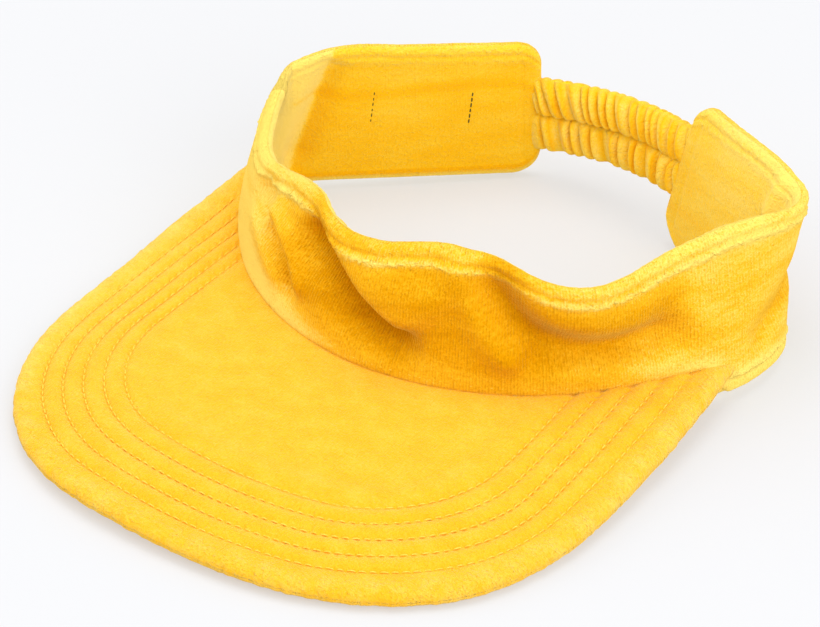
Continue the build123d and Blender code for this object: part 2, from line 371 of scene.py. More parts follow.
def band_points(s, z, depth):
    """Points of the band, at lengths along it, heights and depths from its outer face."""
    x, y, out, ahead = band_line(s)
    low = low_edge(y)
    top = top_height(s)
    share = np.clip((z - low) / (top - low), 0, 1.05)
    peak_top = peak_height(x, y) + PEAK_HALF
    seam_hold = ease(0, 13, z - np.where(abs(s) < PEAK_CORNER_AT, peak_top, low))
    push, hang = fold_shape(s, z - low)
    seam_hold = seam_hold * (1 - CREST_HOLD * ease(0.66, 1.0, share))
    below = 1 - share
    lean = top_lean(s) * share**1.35 + low_lean(s) * below + belly(s) * 4 * share * below
    lean = lean + push * seam_hold + 0.5 * lattice(s / 17, z / 13, 5) * share
    shift = top_shift(s) * share + low_shift(s) * below
    stand = MIDDLE - depth + lean
    across = x + out[..., 0] * stand + ahead[..., 0] * shift
    along = y + out[..., 1] * stand + ahead[..., 1] * shift
    lift = low_lift(s) * below**2 - hang * seam_hold
    return np.stack([across, along, z + lift], -1)


def hollow(s, height):
    """How deep in a valley between folds a place of the outer face is, from 0 to 1."""
    push, _ = fold_shape(s, height)
    return np.clip(-push / 8, 0, 1)


def section(top, low, inset, lining):
    """Depths and heights of a panel's face at an inset, and its heights when rolled out flat."""
    roll = MIDDLE - inset
    under = np.linspace(-pi / 2, 0, 8)[:, None]
    over = np.linspace(0, pi / 2 * ROLL_OVER[lining], 10)[:, None]
    span = top - low - 2 * MIDDLE
    share = np.linspace(0, 1, 98)[1:-1, None]
    share = share - 0.055 * sin(2 * pi * share)
    straight = low + MIDDLE + span * share
    heights = [low + MIDDLE + roll * sin(under), straight, top - MIDDLE + roll * sin(over)]
    unrolled = [low + MIDDLE * (1 + under), straight, top - MIDDLE * (1 - over)]
    insets = [roll * cos(under) + 0 * top, roll + 0 * straight, roll * cos(over) + 0 * top]
    depth = MIDDLE - np.concatenate(insets)
    return (THICK - depth if lining else depth), np.concatenate(heights), np.concatenate(unrolled)


def wing_places(sign):
    """Places along one side of the band, closer together round its end."""
    end = band_end(sign)
    run = np.arange(0, end - MIDDLE, 0.5)
    tip = end - MIDDLE * (1 - sin(np.linspace(0, pi / 2, 7)[1:]))
    return sign * np.concatenate([run, tip])


def corner_cut(radius, to_end):
    """How much a rounded corner takes off the height, at distances from the end."""
    return radius - rounding(to_end, radius)


def seam_low(s):
    """Lower edge of the outer panel: on the peak as far as its corners, then at the table."""
    x, y, _, _ = band_line(s)
    on_peak = peak_height(x, y) + PEAK_HALF - 1.0
    off_peak = ease(PEAK_CORNER_AT - 5, PEAK_CORNER_AT + 4, abs(s))
    return on_peak + (low_edge(y) - on_peak) * off_peak


def pile_relief(s, unrolled, from_top, from_low, to_end, lining):
    """How far the pile stands out from a panel's face, and how much of that is a hem's ridge."""
    bulk, nubby, sunk, _ = HEM_RELIEF[lining]
    low_line = LINING_HEM if lining else HEM
    low_hem = 1 if lining else ease(PEAK_CORNER_AT, PEAK_CORNER_AT + 5, abs(s))
    ridge = hump(from_top, TOP_HEM, RIDGE_WIDTH) + hump(from_low, low_line, RIDGE_WIDTH) * low_hem
    groove = hump(from_low, low_line - GROOVE_BESIDE, GROOVE_WIDTH) * low_hem
    groove = groove + hump(from_top, TOP_HEM - GROOVE_BESIDE, GROOVE_WIDTH)
    end_line = hump(to_end, HEM, 0.8) * ease(HEM - 2, HEM, from_top) * ease(HEM - 2, HEM, from_low)
    nubs = lattice(s / 1.1, unrolled, 11 + lining)
    fuzzy = ease(5, 1, from_top) if lining else ease(9, 6, from_top)
    pile = ridge * (bulk + nubby * nubs) - sunk * groove - 0.35 * end_line
    pile = pile + (0.06 + 0.14 * fuzzy) * lattice(s / 1.2, unrolled, 21)
    pile[-2:] = 0
    return pile, ridge


def brushing_and_painted_light(s, share, from_top, from_low, to_end, lining):
    """How pale a panel's face is painted: brushed pile together with painted sheen and light where the
    band is seen edge-on or faces the key light, painted shade in the valleys between folds and along two
    lines on the right wing's lining, and paler towards the top and along the lower edges.
    """
    if lining:
        # Lining: paler as brushed pile with painted sheen and light, as the curve above gives it, up to
        # the right wing's crease, and paler towards the top.
        brushed_and_painted_light = 1.2 * lining_brush_and_painted_light(s) * ease(-1.5, 1.5, s - RIGHT_CREASE + 16 * share) + 0.3 * share
        # Painted shade on the right wing's lining: a soft band below the top and a narrow line above the
        # lower edge, with the cloth paler below that line.
        on_right_wing = ease(RIGHT_CREASE + 3, RIGHT_CREASE - 7, s) * ease(0, 6, to_end)
        shade = 0.5 * hump(from_top, 15.5 + 2 * sin(s / 14), 2.0) + 2.0 * hump(from_low, 3.6, 0.6)
        return brushed_and_painted_light - on_right_wing * (shade - 0.8 * ease(3, 1, from_low))
    # Outer face: paler as the curve above gives it, which is brushed pile with painted sheen and light,
    # less so low down, and paler towards the top.
    brush = outer_brush_and_painted_light(s)
    brushed_and_painted_light = brush * (1 - 0.3 * share) + 0.25 * ease(0.6, 1, share)
    # Painted shade in the valleys between folds, and darker in the lower part where the pile is not
    # brushed.
    brushed_and_painted_light = brushed_and_painted_light - 0.7 * hollow(s, from_low) - 0.2 * (1 - brush) * ease(0.7, 0.3, share)
    # Paler along the lower edge, more on the right half.
    return brushed_and_painted_light + (0.4 + 0.7 * ease(10, -30, s)) * ease(15, 2, from_low)


def band_face(sign, inset, lining, places=None):
    """One face of a panel, as a grid of points with its flat map."""
    s = (wing_places(sign) if places is None else np.array(places))[None, :]
    to_end = band_end(sign) - abs(s)
    _, y, _, _ = band_line(s)
    low = (low_edge(y) if lining else seam_low(s)) + corner_cut(LOW_CORNER[sign], to_end)
    top = top_height(s) - corner_cut(TOP_CORNER, to_end)
    depth, z, unrolled = section(top, low, inset, lining)
    thin = rounding(to_end, MIDDLE) / MIDDLE
    depth = MIDDLE + (depth - MIDDLE) * thin
    from_top, from_low = top - z, z - low
    pile, ridge = pile_relief(s, unrolled, from_top, from_low, to_end, lining)
    if inset == 0:
        depth = depth + (1 if lining else -1) * pile * thin
    s_grid = np.broadcast_to(s, z.shape)
    fluff = np.clip(HEM_RELIEF[lining][3] * ridge + 0.45 * ease(5, 0, from_top), 0, 1)
    brushed_and_painted_light = brushing_and_painted_light(s, from_low / (top - low), from_top, from_low, to_end, lining)
    return band_points(s_grid, z, depth), np.stack([s_grid, unrolled, fluff, brushed_and_painted_light], -1)


def make_panel(side, lining):
    """The outer panel or the lining of one half of the band."""
    sign = SIDES[side]
    outside, flat = band_face(sign, 0, lining)
    inside, _ = band_face(sign, CLOTH, lining)
    if (sign > 0) == lining:
        outside, inside, flat = outside[:, ::-1], inside[:, ::-1], flat[:, ::-1]
    beside, _ = band_face(sign, 0, lining, (-0.5, 0.5))
    facing = np.cross(beside[:, 1] - beside[:, 0], np.gradient(beside.mean(axis=1), axis=0))
    facing = facing / np.linalg.norm(facing, axis=1)[:, None] * (-1 if lining else 1)
    centre = -1 if (sign > 0) == lining else 0
    kind = "lining_panel" if lining else "outer_panel"
    return closed_shell(f"{kind}_{side}", outside, inside, flat, join=(centre, facing))


# ---- The peak's shape ----

# How far the peak's rim stands out from its drawn outline, at lengths from the tip
rim_grow = along_band([
    (-200, 1.6), (-190, 0), (-170, -1.7), (-150, -2.0), (-120, -2.3), (-100, -1.0), (-80, 0.2),
    (-50, 1.2), (-30, 0.9), (-15, 0.3), (0, -0.1), (30, 0.7), (60, 1.1), (80, 2.3), (95, 3.2),
    (110, 2.2), (130, 1.1), (160, 0.9), (200, 0.5),
])


def outline(inset, travel):
    """Points of the peak's outline at an inset, at travels to either side of the tip."""
    arcs = [(radius - inset, turn) for radius, turn in (TIP, CORNER, SIDE)]
    x, y, turned = follow(arcs, (0, TIP_Y + inset), 0.0, abs(travel))
    grow = rim_grow(travel) * ease(60, 0, inset)
    return np.sign(travel) * (x + grow * sin(turned)), y - grow * cos(turned)


def seam_line(depth, travel):
    """Points of the peak's back edge, at a depth in the band."""
    arcs = [(radius - depth, turn) for radius, turn in (FRONT, FLANK)]
    x, y, _ = follow(arcs, (0, BAND_FRONT_Y + depth), 0.0, abs(travel))
    return np.sign(travel) * x, y


def outline_end(inset, depth):
    """Travel at which an inset outline meets the band, and the back edge's travel there."""
    travel = np.arange(0, 240, 0.25)
    x, y = outline(inset, travel)
    seam_travel = np.arange(0, 200, 0.25)
    seam_x, seam_y = seam_line(depth, seam_travel)
    past = y - np.interp(x, seam_x, seam_y)
    k = np.argmax(past > 0)
    share = past[k - 1] / (past[k - 1] - past[k])
    end = travel[k - 1] + 0.25 * share
    return end, np.interp(x[k - 1] + (x[k] - x[k - 1]) * share, seam_x, seam_travel)


def peak_grid(insets, across, patch_rows, depth):
    """Plan of a peak layer: inset outlines from the rim in, then a patch that reaches the band."""
    share = np.linspace(-1, 1, across)
    lines = [outline(inset, share * outline_end(inset, depth)[0]) for inset in insets]
    x = np.stack([line[0] for line in lines])
    y = np.stack([line[1] for line in lines])
    seam_x, seam_y = seam_line(depth, share * outline_end(insets[-1], depth)[1])
    part = np.linspace(0, 1, patch_rows)[1:, None]
    patch_x, patch_y = x[-1] * (1 - part) + seam_x * part, y[-1] * (1 - part) + seam_y * part
    further = insets[-1] + PATCH_REACH * part + 0 * patch_x
    inset = np.concatenate([np.broadcast_to(insets[:, None], x.shape), further])
    return np.concatenate([x, patch_x]), np.concatenate([y, patch_y]), inset


def quilting(x, y, inset):
    """Puffed lanes between the rows of stitches, and the rows' grooves, pinched at each stitch."""
    travel = np.cumsum(np.hypot(np.gradient(x, axis=1), np.gradient(y, axis=1)), axis=1)
    pinch = 0.45 + 0.25 * cos(2 * pi * travel / STITCH)
    lanes = [0.0, *ROWS, ROWS[-1] + 11]
    puff = np.zeros(inset.shape)
    for start, end in zip(lanes[:-1], lanes[1:]):
        within = np.clip((inset - start) / (end - start), 0, 1)
        puff += 0.42 * sin(pi * within) ** 2
    for row in ROWS:
        puff -= pinch * hump(inset, row, 0.9)
    return puff


BACK_DEPTH = THICK - CLOTH - 0.4


def make_cover(name, up):
    """The velour over or under the peak, rolled half round its rim and down to the band."""
    rim = PEAK_HALF * (1 - cos(np.linspace(0, pi / 2, 9)[:-1]))
    insets = np.concatenate([rim, np.arange(PEAK_HALF, QUILTED_TO, 0.65)])
    x, y, inset = peak_grid(insets, 540, 64, BACK_DEPTH)
    middle = peak_height(x, y)
    nap = 0.06 * lattice(x / 1.1, y / 1.1, 31) + 0.13 * lattice(x / 23, y / 19, 32)
    slant = (x + 0.8 * y) / 1.35
    rim_nap = 0.22 * lattice(slant, (x - y) / 5, 33) + 0.2 * lattice(x / 1.7, y / 1.7, 34)
    rim_nap = rim_nap * ease(10, 6, inset)
    on_top = ease(0, PEAK_HALF, inset)
    away = rounding(inset, PEAK_HALF) + (quilting(x, y, inset) + nap + rim_nap) * on_top
    rough = rim_nap * ease(PEAK_HALF, 0, inset)
    grow_x, grow_y = x * (1 + rough / 100), y + rough * 0.8 * np.sign(y)
    outside = np.stack([grow_x, grow_y, middle + up * away], -1)
    away[0] = -0.12
    under = 0.03 + (CORE_HALF - 0.03) * ease(RIM - 0.7, RIM - 0.1, inset)
    tuck = np.clip(1.2 - inset, 0, None)
    inside = np.stack([x * (1 - tuck / 100), y + tuck * 0.8, middle + up * under], -1)
    fluff = ease(8, 3, inset) * (0.5 + 0.3 * lattice(x / 3, y / 3, 35))
    rolled = np.arccos(np.clip(1 - inset / PEAK_HALF, 0, 1))
    further = PEAK_HALF * (pi / 2 - rolled) - np.clip(PEAK_HALF - inset, 0, None)
    from_middle = np.hypot(x, y + 20)
    # Paler on the peak's right side, as painted sheen where it is seen edge-on, and darker along the
    # front rim.
    brushed_and_painted_light = 0.3 * ease(-70, -95, x) - 0.12 * ease(12, 2, inset) * ease(-70, -95, y)
    flat_x, flat_y = x * (1 + further / from_middle), y + (y + 20) * further / from_middle
    flat = np.stack([flat_x, flat_y, fluff, brushed_and_painted_light], -1)
    if up < 0:
        outside, inside, flat = outside[:, ::-1], inside[:, ::-1], flat[:, ::-1]
    return closed_shell(name, outside, inside, flat)


def make_core(name, low, high):
    """The board or the padding inside the peak."""
    x, y, _ = peak_grid(np.arange(RIM + 0.2, QUILTED_TO, 2.0), 180, 22, BACK_DEPTH)
    faces = [np.stack([x, y, peak_height(x, y) + level], -1) for level in (high, low)]
    return closed_shell(name, faces[0], faces[1], np.stack([x, y], -1))


def make_row(number):
    """One row of the peak's stitches, above and below."""
    inset = ROWS[number]
    end = outline_end(inset, 0)[0] - 1.0
    x, y = outline(inset, np.linspace(-end, end, 900))
    runs = []
    for up in (1, -1):
        line = np.stack([x, y, peak_height(x, y) + up * (PEAK_HALF - 0.08)], -1)
        runs.append((line, np.tile([0.0, 0.0, float(up)], (len(x), 1))))
    return dashes(f"peak_row_{number + 1}", runs)


# ---- Stitches and small pieces of the band ----


def face_line(sign, s, above, depth, from_low=False):
    """A line along the band's face, this far from the crest or lower edge, with its outward direction."""
    s = sign * s
    _, y, out, _ = band_line(s)
    low = seam_low(s) if depth < MIDDLE else low_edge(y)
    z = low + above if from_low else top_height(s) - above
    line = band_points(s, z, np.full(s.shape, float(depth)))
    up = np.stack([out[:, 0], out[:, 1], 0 * z], -1) * (1 if depth < MIDDLE else -1)
    return line, up


def make_hems(side):
    """Stitches along the top edge of one half of the band, inside and outside."""
    sign = SIDES[side]
    s = np.arange(0.5, band_end(sign) - HEM, 1.0)
    runs = [face_line(sign, s, TOP_HEM, depth) for depth in (STITCH_SINK, THICK - STITCH_SINK)]
    return dashes(f"top_stitch_{side}", runs, radius=0.2)


def make_low_hems(side):
    """Stitches along the lower edge and up the end of one half of the band."""
    sign = SIDES[side]
    end = band_end(sign) - HEM
    outside = np.arange(PEAK_CORNER_AT + 5, end, 1.0)
    inside = np.arange(0.5, end, 1.0)
    runs = [
        face_line(sign, outside, HEM, STITCH_SINK, True),
        face_line(sign, inside, HEM, THICK - STITCH_SINK, True),
    ]
    up_end = np.arange(HEM, top_height(sign * end) - HEM, 1.0)
    for depth in (END_STITCH_SINK, THICK - END_STITCH_SINK):
        s = np.full(up_end.shape, sign * end)
        _, _, out, _ = band_line(s)
        up = np.stack([out[:, 0], out[:, 1], 0 * s], -1) * (1 if depth < MIDDLE else -1)
        runs.append((band_points(s, up_end, np.full(s.shape, depth)), up))
    return dashes(f"low_stitch_{side}", runs, radius=0.2)


def make_seam_stitch():
    """Stitches that hold the peak, just above it on the band."""
    s = np.arange(-PEAK_CORNER_AT + 8, PEAK_CORNER_AT - 8, 1.0)
    return dashes("peak_seam", [face_line(1, s, 3.2, 0.2, True)], radius=0.2)


def make_interlining(side):
    """The stiffener between the outer panel and the lining of one half of the band."""
    sign = SIDES[side]
    s = sign * np.arange(0, band_end(sign) - 9, 1.5)[None, :]
    _, y, _, _ = band_line(s)
    low, top = low_edge(y) + 9, top_height(s) - 8
    z = low + (top - low) * np.linspace(0, 1, 26)[:, None]
    depths = (2.1, 2.9) if sign > 0 else (2.9, 2.1)
    faces = [band_points(np.broadcast_to(s, z.shape), z, depth) for depth in depths]
    flat = np.stack([np.broadcast_to(s, z.shape), z], -1)
    return closed_shell(f"interlining_{side}", faces[0], faces[1], flat)


# Elastic back: where it leaves each wing, (length from the front, lowest and highest place)
CASING_END = {-1: (4.1, 9.7, 36.0), 1: (4.5, 17.0, 41.8)}
CASING_BOW = 6.5
CASING_HALF = 3.4
UPPER_RIBS, LOWER_RIBS = 18, 14


def casing_place(t):
    """Low and high points of the casing's middle sheet, from the right wing to the left one."""
    ends = []
    for sign in (-1, 1):
        inset, low, high = CASING_END[sign]
        s = np.full(2, sign * (band_end(sign) - inset))
        ends.append(band_points(s, np.array([low, high]), np.full(2, MIDDLE)))
    t = t[:, None]
    low = ends[0][0] * (1 - t) + ends[1][0] * t
    high = ends[0][1] * (1 - t) + ends[1][1] * t
    bow = np.array([0.1, 1.0, -0.05]) * CASING_BOW * sin(pi * t) ** 0.9
    return low + bow, high + bow


def ribs(place, count, phase):
    """Rounded gathers with narrow valleys between them, unevenly spaced, 0 in the valleys."""
    uneven = 0.26 * sin(2 * pi * (place * 3.1 + phase))
    uneven = uneven + 0.14 * sin(2 * pi * (place * 7.3 + 2.3 * phase))
    return abs(sin(pi * (place * count + uneven + phase))) ** 0.85


def casing_out(line):
    """Level outward directions beside a line along the casing."""
    ahead = np.gradient(line, axis=0)
    out = np.stack([-ahead[:, 1], ahead[:, 0], 0 * ahead[:, 0]], -1)
    return out / np.linalg.norm(out, axis=1)[:, None]


def waist(place):
    """How far the stitched waist wanders from the casing's middle, as a share of its half height."""
    return 0.1 * sin(2 * pi * (place * 1.4 + 0.2))


def casing_grid(inset, along, around):
    """One face of the gathered casing."""
    t = np.linspace(0, 1, along)
    low, high = casing_place(t)
    middle, half = (low + high) / 2, (high - low) / 2
    out = casing_out(middle)
    turn = np.linspace(0, 2 * pi, around, endpoint=False)[None, :]
    level = -cos(turn)
    level = level * (1 - 0.12 * sin(2 * pi * abs(level)))
    face = np.where(turn < pi, 1.0, -1.0)
    lobe = np.sqrt(np.clip(1 - abs(2 * abs(level) - 1) ** 2.4, 0, 1))
    place = t[:, None]
    wander = level - waist(place) * ease(1, 0.5, abs(level))
    slant = 0.036 * wander * np.where(level > 0, 1.9, 1.3)
    upper = ribs(place + slant + 0.02 * face, UPPER_RIBS, 0.15 + 0.3 * face)
    lower = ribs(place + slant, LOWER_RIBS, 0.4 + 0.2 * face)
    rib = np.where(wander > 0, upper, lower)
    pinch = ease(0, 0.09, place) * ease(1, 0.91, place)
    swell = CASING_HALF - 2.3 + 2.9 * rib * (0.5 + 0.5 * pinch)
    thick = 0.75 + swell * lobe * (0.35 + 0.65 * pinch)
    thick = thick + 0.07 * lattice(place * 50, level * 13, 41)
    edge = 1 + 0.035 * (rib - 0.5) * ease(0.75, 1, abs(level))
    thick = np.maximum(thick - inset, 0.12)
    height = level * (edge - inset / 14)
    stand = face * thick * abs(sin(turn)) ** 0.25
    points = middle[:, None, :] + half[:, None, :] * height[..., None]
    points = points + out[:, None, :] * stand[..., None]
    # The pile columns follow the ribs: paler and fluffier on their crests and darker in the creases
    # between them, which is painted shade.
    flat = (place * 114, turn * 12, 0.5 * rib * lobe, 0.5 * rib)
    return points, np.stack([np.broadcast_to(values, height.shape) for values in flat], -1)


def make_casing():
    """The gathered velour tube of the elastic back."""
    outside, flat = casing_grid(0, 320, 112)
    inside, _ = casing_grid(0.7, 320, 112)
    return closed_shell("gathered_casing", outside[:, ::-1], inside[:, ::-1], flat, round_about=True)


def make_elastic(name, share):
    """A flat elastic inside one channel of the casing."""
    t = np.linspace(0.07, 0.93, 60)
    low, high = casing_place(t)
    out = casing_out((low + high) / 2)
    span = np.linspace(share - 0.16, share + 0.16, 9)[None, :, None]
    sheet = low[:, None, :] * (1 - span) + high[:, None, :] * span
    lift = 0.35 * out[:, None, :]
    flat = np.stack(np.broadcast_arrays(t[:, None] * 55, span[..., 0] * 30), -1)
    return closed_shell(name, sheet - lift, sheet + lift, flat)


def make_centre_stitch():
    """Stitches along the waist between the casing's two channels."""
    t = np.linspace(0.03, 0.97, 200)
    low, high = casing_place(t)
    share = (0.5 + waist(t) / 2)[:, None]
    line = low * (1 - share) + high * share
    out = casing_out(line)
    runs = [(line + face * 0.8 * out, face * out) for face in (1, -1)]
    return dashes("casing_stitch", runs, length=1.7, gap=0.5, radius=0.26)


def make_tab(name, sign):
    """The end of the elastics, sewn in between the layers at the end of a wing."""
    end = band_end(sign)
    s = sign * np.linspace(end - 11, end - 5.6, 8)[:, None]
    _, low, high = CASING_END[sign]
    z = np.linspace(low + 3, high - 3, 12)[None, :]
    shape = np.broadcast(s, z).shape
    s, z = np.broadcast_to(s, shape), np.broadcast_to(z, shape)
    depths = (2.1, 2.9) if sign < 0 else (2.9, 2.1)
    flat = np.stack([s, z], -1)
    return closed_shell(name, band_points(s, z, depths[0]), band_points(s, z, depths[1]), flat)


LABEL_LENGTH, LABEL_HEIGHT, LABEL_MIDDLE = 35.0, 14.0, 24.5
LABEL_END = band_end(-1) - END_REACH[-1] - 16.0


def make_label():
    """The blank label on the outside of the right wing."""
    s = -np.linspace(LABEL_END - LABEL_LENGTH, LABEL_END, 40)[None, :]
    z = LABEL_MIDDLE + LABEL_HEIGHT * np.linspace(-0.5, 0.5, 18)[:, None]
    shape = np.broadcast(s, z).shape
    s, z = np.broadcast_to(s, shape), np.broadcast_to(z, shape)
    edge = np.min([s - s.min(), s.max() - s, z - z.min(), z.max() - z], axis=0)
    press = 0.35 * ease(0.0, 1.4, edge)
    outside = band_points(s, z, -0.25 - press)
    inside = band_points(s, z, 0.1)
    flat = np.stack([s, z], -1)
    return closed_shell("side_label_blank", outside[:, ::-1], inside[:, ::-1], flat[:, ::-1])


def make_tacks():
    """The two dark bar tacks that hold the label, as they show on the lining."""
    runs = []
    for s, low, sunk in ((LABEL_END - LABEL_LENGTH + 1.5, 22.8, 0.14), (LABEL_END - 1.5, 20.4, 0.0)):
        z = np.linspace(low, low + 15.6, 40)
        places = -(s + 0.12 * (z - 28))
        _, _, out, _ = band_line(places)
        line = band_points(places, z, np.full(z.shape, THICK - sunk))
        runs.append((line, np.stack([-out[:, 0], -out[:, 1], 0 * z], -1)))
    return dashes("label_tack", runs, length=1.9, gap=0.15, radius=0.24, sink=0.3)


# ---- Materials ----


class Finish:
    """A material made of nodes, with short words for the ones used here."""

    def __init__(self, name):
        self.material = bpy.data.materials.new(name)
        self.material.use_nodes = True
        self.tree = self.material.node_tree
        self.shader = self.tree.nodes["Principled BSDF"]

    def node(self, kind, **values):
        node = self.tree.nodes.new(kind)
        for key, value in values.items():
            setattr(node, key, value)
        return node

    def link(self, source, target):
        self.tree.links.new(source, target)

    def place(self, flat):
        """Coordinates in millimetres: the cloth's own flat map, or the object's."""
        if flat:
            return self.node("ShaderNodeUVMap", uv_map="flat").outputs["UV"]
        scale = self.node("ShaderNodeVectorMath", operation="SCALE")
        self.link(self.node("ShaderNodeTexCoord").outputs["Object"], scale.inputs[0])
        scale.inputs["Scale"].default_value = 1000
        return scale.outputs[0]

    def stretch(self, place, x, y, z=1.0):
        node = self.node("ShaderNodeMapping")
        self.link(place, node.inputs["Vector"])
        node.inputs["Scale"].default_value = (x, y, z)
        return node.outputs[0]

    def noise(self, place, scale, detail=2.0, rough=0.55):
        node = self.node("ShaderNodeTexNoise")
        self.link(place, node.inputs["Vector"])
        node.inputs["Scale"].default_value = scale
        node.inputs["Detail"].default_value = detail
        node.inputs["Roughness"].default_value = rough
        return node.outputs["Fac"]

    def waves(self, place, scale, distortion, direction="X"):
        node = self.node("ShaderNodeTexWave", bands_direction=direction)
        self.link(place, node.inputs["Vector"])
        node.inputs["Scale"].default_value = scale
        node.inputs["Distortion"].default_value = distortion
        node.inputs["Detail"].default_value = 1.0
        return node.outputs["Fac"]

    def math(self, operation, a, b):
        node = self.node("ShaderNodeMath", operation=operation)
        for socket, value in zip(node.inputs, (a, b)):
            if isinstance(value, (int, float)):
                socket.default_value = value
            else:
                self.link(value, socket)
        return node.outputs[0]

    def ramp(self, amount, stops):
        node = self.node("ShaderNodeValToRGB")
        self.link(amount, node.inputs["Fac"])
        elements = node.color_ramp.elements
        while len(elements) < len(stops):
            elements.new(0.5)
        for element, (position, colour) in zip(elements, stops):
            element.position = position
            element.color = (*colour, 1)
        return node.outputs["Color"]

    def bump(self, height, distance, strength, below=None):
        node = self.node("ShaderNodeBump")
        self.link(height, node.inputs["Height"])
        node.inputs["Distance"].default_value = distance * MM
        node.inputs["Strength"].default_value = strength
        if below is not None:
            self.link(below, node.inputs["Normal"])
        return node.outputs["Normal"]

    def set(self, **values):
        for key, value in values.items():
            self.shader.inputs[key.replace("_", " ")].default_value = value


TIP_COLOUR = (1.0, 0.74, 0.15)


def velour(name, deep, middle, pale, wales, nubby=1.0, brush=(0.05, 0.16), sheen=(0.86, 0.34)):
    """Short-pile velour: brushed patches, pale sheen, knit wales, a fine nap and fluffy hems.

    wales and nubby are the strengths of the knit's lines and of the nap, brush is the patches'
    pitch each way, and sheen is the green and blue of its tint."""
    finish = Finish(name)
    flat = finish.place(True)
    patches = finish.noise(finish.stretch(flat, *brush), 1.0, 3.0)
    tufts = finish.noise(flat, 0.9, 3.0, 0.7)
    nap = finish.noise(flat, 2.0, 2.0, 0.75)
    wale = finish.waves(finish.stretch(flat, 1.0, 0.05), 0.33, 0.7)
    wale = finish.math("MULTIPLY", wale, wales)
    nubs = finish.noise(finish.stretch(flat, 0.5, 1.1), 1.0, 2.0, 0.6)
    fluff = finish.node("ShaderNodeAttribute", attribute_name="fluff").outputs["Fac"]
    fluffy = finish.math("MULTIPLY", nubs, fluff)
    # This attribute paints the pile paler and darker: brushed pile, with painted sheen, light and shade.
    brushed_and_painted_light = finish.node("ShaderNodeAttribute", attribute_name="brushed_and_painted_light").outputs["Fac"]
    mixed = finish.math("MULTIPLY", patches, 0.32)
    for layer, share in ((tufts, 0.35), (nap, 0.34), (wale, 0.05), (fluffy, 0.4), (brushed_and_painted_light, 0.3)):
        mixed = finish.math("ADD", mixed, finish.math("MULTIPLY", layer, share))
    colour = finish.ramp(mixed, [(0.32, deep), (0.52, middle), (0.68, pale), (0.86, TIP_COLOUR)])
    finish.link(colour, finish.shader.inputs["Base Color"])
    normal = finish.bump(wale, 0.2, 1.0)
    normal = finish.bump(nap, 0.32 * nubby, 1.0, normal)
    normal = finish.bump(tufts, 0.75 * nubby, 0.8, normal)
    normal = finish.bump(fluffy, 1.3, 1.0, normal)
    finish.link(normal, finish.shader.inputs["Normal"])
    finish.set(Roughness=1.0, Sheen_Weight=0.8, Sheen_Roughness=0.38, Sheen_Tint=(1.0, *sheen, 1))
    finish.set(Specular_IOR_Level=0.0)
    return finish.material


def plain(name, low, high, scale, roughness, bump):
    """A quieter material with fine mottling and grain."""
    finish = Finish(name)
    place = finish.place(False)
    grain = finish.noise(place, scale, 4.0, 0.6)
    finish.link(finish.ramp(grain, [(0.35, low), (0.65, high)]), finish.shader.inputs["Base Color"])
    finish.link(finish.bump(grain, bump, 0.6), finish.shader.inputs["Normal"])
    finish.set(Roughness=roughness, Specular_IOR_Level=0.2)
    return finish.material


def woven(name, low, high, pitch):
    """Narrow woven tape: crossing yarns of two near colours."""
    finish = Finish(name)
    flat = finish.place(True)
    warp = finish.waves(flat, pitch, 0.3)
    weft = finish.waves(flat, pitch, 0.3, "Y")
    weave = finish.math("MULTIPLY", warp, weft)
    finish.link(finish.ramp(weave, [(0.1, low), (0.7, high)]), finish.shader.inputs["Base Color"])
    finish.link(finish.bump(weave, 0.15, 0.7), finish.shader.inputs["Normal"])
    finish.set(Roughness=0.7, Sheen_Weight=0.2, Specular_IOR_Level=0.3)
    return finish.material


materials = {
    "velour_peak": velour(
        "velour_peak", (0.88, 0.40, 0.005), (0.97, 0.50, 0.018), (1.0, 0.59, 0.07), 0.15,
        brush=(0.11, 0.15),
    ),
    # Darker colours than the same velour on the peak, lining and casing: painted shade on the outer band.
    "velour_band": velour(
        "velour_band", (0.56, 0.21, 0.0), (0.76, 0.33, 0.001), (0.95, 0.50, 0.016), 0.75, 0.8,
        sheen=(0.72, 0.12),
    ),
    "velour_lining": velour(
        "velour_lining", (0.95, 0.46, 0.002), (0.99, 0.54, 0.006), (1.0, 0.64, 0.04), 0.15,
    ),
    "velour_casing": velour(
        "velour_casing", (0.93, 0.42, 0.002), (0.98, 0.51, 0.005), (1.0, 0.62, 0.03), 0.2, 0.5,
    ),
    "thread": plain("thread", (0.95, 0.50, 0.02), (1.0, 0.66, 0.10), 1.6, 0.7, 0.05),
    "tack_thread": plain("tack_thread", (0.05, 0.035, 0.006), (0.13, 0.09, 0.015), 2.0, 0.7, 0.05),
    "board": plain("board", (0.62, 0.60, 0.55), (0.74, 0.72, 0.66), 0.5, 0.6, 0.04),
    "padding": plain("padding", (0.80, 0.79, 0.76), (0.90, 0.89, 0.87), 1.2, 0.9, 0.3),
    "interlining": plain("interlining", (0.78, 0.77, 0.72), (0.88, 0.87, 0.83), 1.8, 0.85, 0.1),
    "elastic": woven("elastic", (0.70, 0.69, 0.66), (0.90, 0.89, 0.86), 0.5),
    "label": woven("label", (0.060, 0.062, 0.020), (0.12, 0.12, 0.045), 0.55),
}


def dress(piece, slot, *nodes):
    """Gives a piece its material and slot, and hides the CAD nodes it stands for."""
    piece.data.materials.append(materials[slot])
    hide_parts(*nodes)
    return piece


def bend(piece):
    """Bakes the piece's placement into its mesh."""
    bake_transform(piece)
    return piece


# ---- The visor ----

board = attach(dress(make_core("peak_stiffener", -1.10, 0.05), "board", "peak_board"), "front")
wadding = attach(dress(make_core("peak_wadding", 0.08, 1.10), "padding", "peak_padding"), "front")

for word, up in (("top", 1), ("under", -1)):
    cover = dress(make_cover(f"peak_{word}_velour", up), "velour_peak", f"peak_{word}_cover")
    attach(cover, "front")

